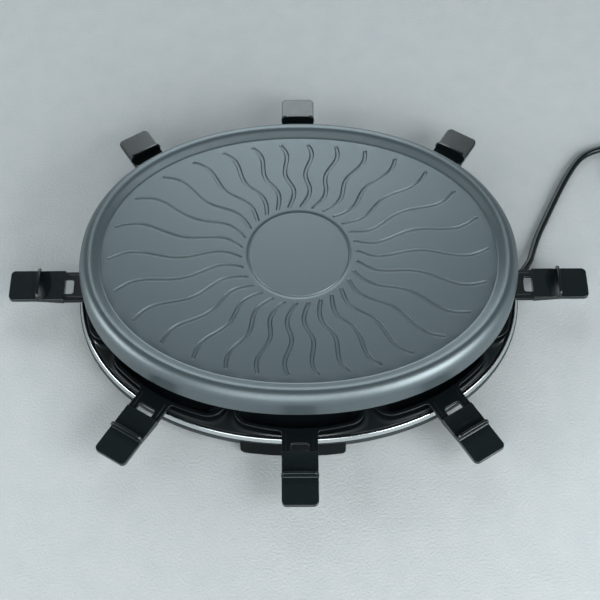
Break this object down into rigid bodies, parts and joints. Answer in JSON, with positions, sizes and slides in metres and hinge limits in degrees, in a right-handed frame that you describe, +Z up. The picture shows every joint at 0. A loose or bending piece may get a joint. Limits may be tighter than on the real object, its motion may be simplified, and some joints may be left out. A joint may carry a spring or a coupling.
{
  "type": "electric grill",
  "caption": "Oval table-top party grill: a rimmed cast grill plate with wavy channels over a ring of small slide-out pans, with a heating element between and a mains cord.",
  "frame": {"origin": "middle of the grill's footprint, on the table", "axes": "+X along the long axis of the oval towards the cord's side, +Y away from the person in front, +Z up"},
  "size_m": [0.7458, 0.4716, 0.09],
  "materials": {
    "cast_coating": "fine grey non-stick coating on cast aluminium",
    "black_enamel": "gloss black enamel",
    "bright_steel": "bright stainless trim",
    "black_plastic": "heat-proof black moulding",
    "grey_plastic": "dark grey moulding",
    "pan_coating": "black non-stick coating on steel",
    "element_steel": "dull heat-stained sheath",
    "zinc_steel": "zinc-plated",
    "ceramic": "unglazed ceramic",
    "rubber": "matt black rubber",
    "cord_rubber": "semi-gloss black sheath",
    "wire_brown": "brown insulation",
    "wire_blue": "blue insulation",
    "wire_green": "green insulation",
    "pin_metal": "nickel-plated brass"
  },
  "bodies": {
    "base": {"base_shell": "grey_plastic", "coil_tie": "rubber", "cord_coil": "cord_rubber", "cord_tail": "cord_rubber", "element_clip_1": "zinc_steel", "element_clip_2": "zinc_steel", "element_clip_3": "zinc_steel", "element_clip_4": "zinc_steel", "foot_back": "black_plastic", "foot_front": "black_plastic", "foot_left": "black_plastic", "foot_pad_back": "rubber", "foot_pad_front": "rubber", "foot_pad_left": "rubber", "foot_pad_right": "rubber", "foot_right": "black_plastic", "foot_screw_back": "zinc_steel", "foot_screw_front": "zinc_steel", "foot_screw_left": "zinc_steel", "foot_screw_right": "zinc_steel", "heating_element": "element_steel", "housing_screw_left": "zinc_steel", "housing_screw_right": "zinc_steel", "pan_tray": "black_enamel", "plate_post_1": "zinc_steel", "plate_post_2": "zinc_steel", "plate_post_3": "zinc_steel", "plate_post_4": "zinc_steel", "plug_body": "cord_rubber", "plug_pin_a": "pin_metal", "plug_pin_b": "pin_metal", "power_cord": "cord_rubber", "strain_relief": "cord_rubber", "terminal_block": "ceramic", "terminal_housing": "zinc_steel", "thermal_cutout": "zinc_steel", "trim_band": "bright_steel", "wire_earth": "wire_green", "wire_live": "wire_brown", "wire_neutral": "wire_blue"},
    "plate": {"grill_plate": "cast_coating"},
    "pan_unit_front": {"pan_front": "pan_coating", "grip_front": "black_plastic"},
    "pan_unit_front_right": {"pan_front_right": "pan_coating", "grip_front_right": "black_plastic"},
    "pan_unit_right": {"pan_right": "pan_coating", "grip_right": "black_plastic"},
    "pan_unit_back_right": {"pan_back_right": "pan_coating", "grip_back_right": "black_plastic"},
    "pan_unit_back": {"pan_back": "pan_coating", "grip_back": "black_plastic"},
    "pan_unit_back_left": {"pan_back_left": "pan_coating", "grip_back_left": "black_plastic"},
    "pan_unit_left": {"pan_left": "pan_coating", "grip_left": "black_plastic"},
    "pan_unit_front_left": {"pan_front_left": "pan_coating", "grip_front_left": "black_plastic"}
  },
  "joints": [
    {"name": "plate_lift", "type": "slide", "parent": "base", "child": "plate", "axis": [0, 0, 1], "range_m": [0, 0.15]},
    {"name": "pan_pull_front", "type": "slide", "parent": "base", "child": "pan_unit_front", "axis": [0, -0.9681, 0.2504], "range_m": [0, 0.11]},
    {"name": "pan_pull_front_right", "type": "slide", "parent": "base", "child": "pan_unit_front_right", "axis": [0.5149, -0.8199, 0.2504], "range_m": [0, 0.11]},
    {"name": "pan_pull_right", "type": "slide", "parent": "base", "child": "pan_unit_right", "axis": [0.9681, 0, 0.2504], "range_m": [0, 0.11]},
    {"name": "pan_pull_back_right", "type": "slide", "parent": "base", "child": "pan_unit_back_right", "axis": [0.5149, 0.8199, 0.2504], "range_m": [0, 0.11]},
    {"name": "pan_pull_back", "type": "slide", "parent": "base", "child": "pan_unit_back", "axis": [0, 0.9681, 0.2504], "range_m": [0, 0.11]},
    {"name": "pan_pull_back_left", "type": "slide", "parent": "base", "child": "pan_unit_back_left", "axis": [-0.5149, 0.8199, 0.2504], "range_m": [0, 0.11]},
    {"name": "pan_pull_left", "type": "slide", "parent": "base", "child": "pan_unit_left", "axis": [-0.9681, 0, 0.2504], "range_m": [0, 0.11]},
    {"name": "pan_pull_front_left", "type": "slide", "parent": "base", "child": "pan_unit_front_left", "axis": [-0.5149, -0.8199, 0.2504], "range_m": [0, 0.11]}
  ]
}
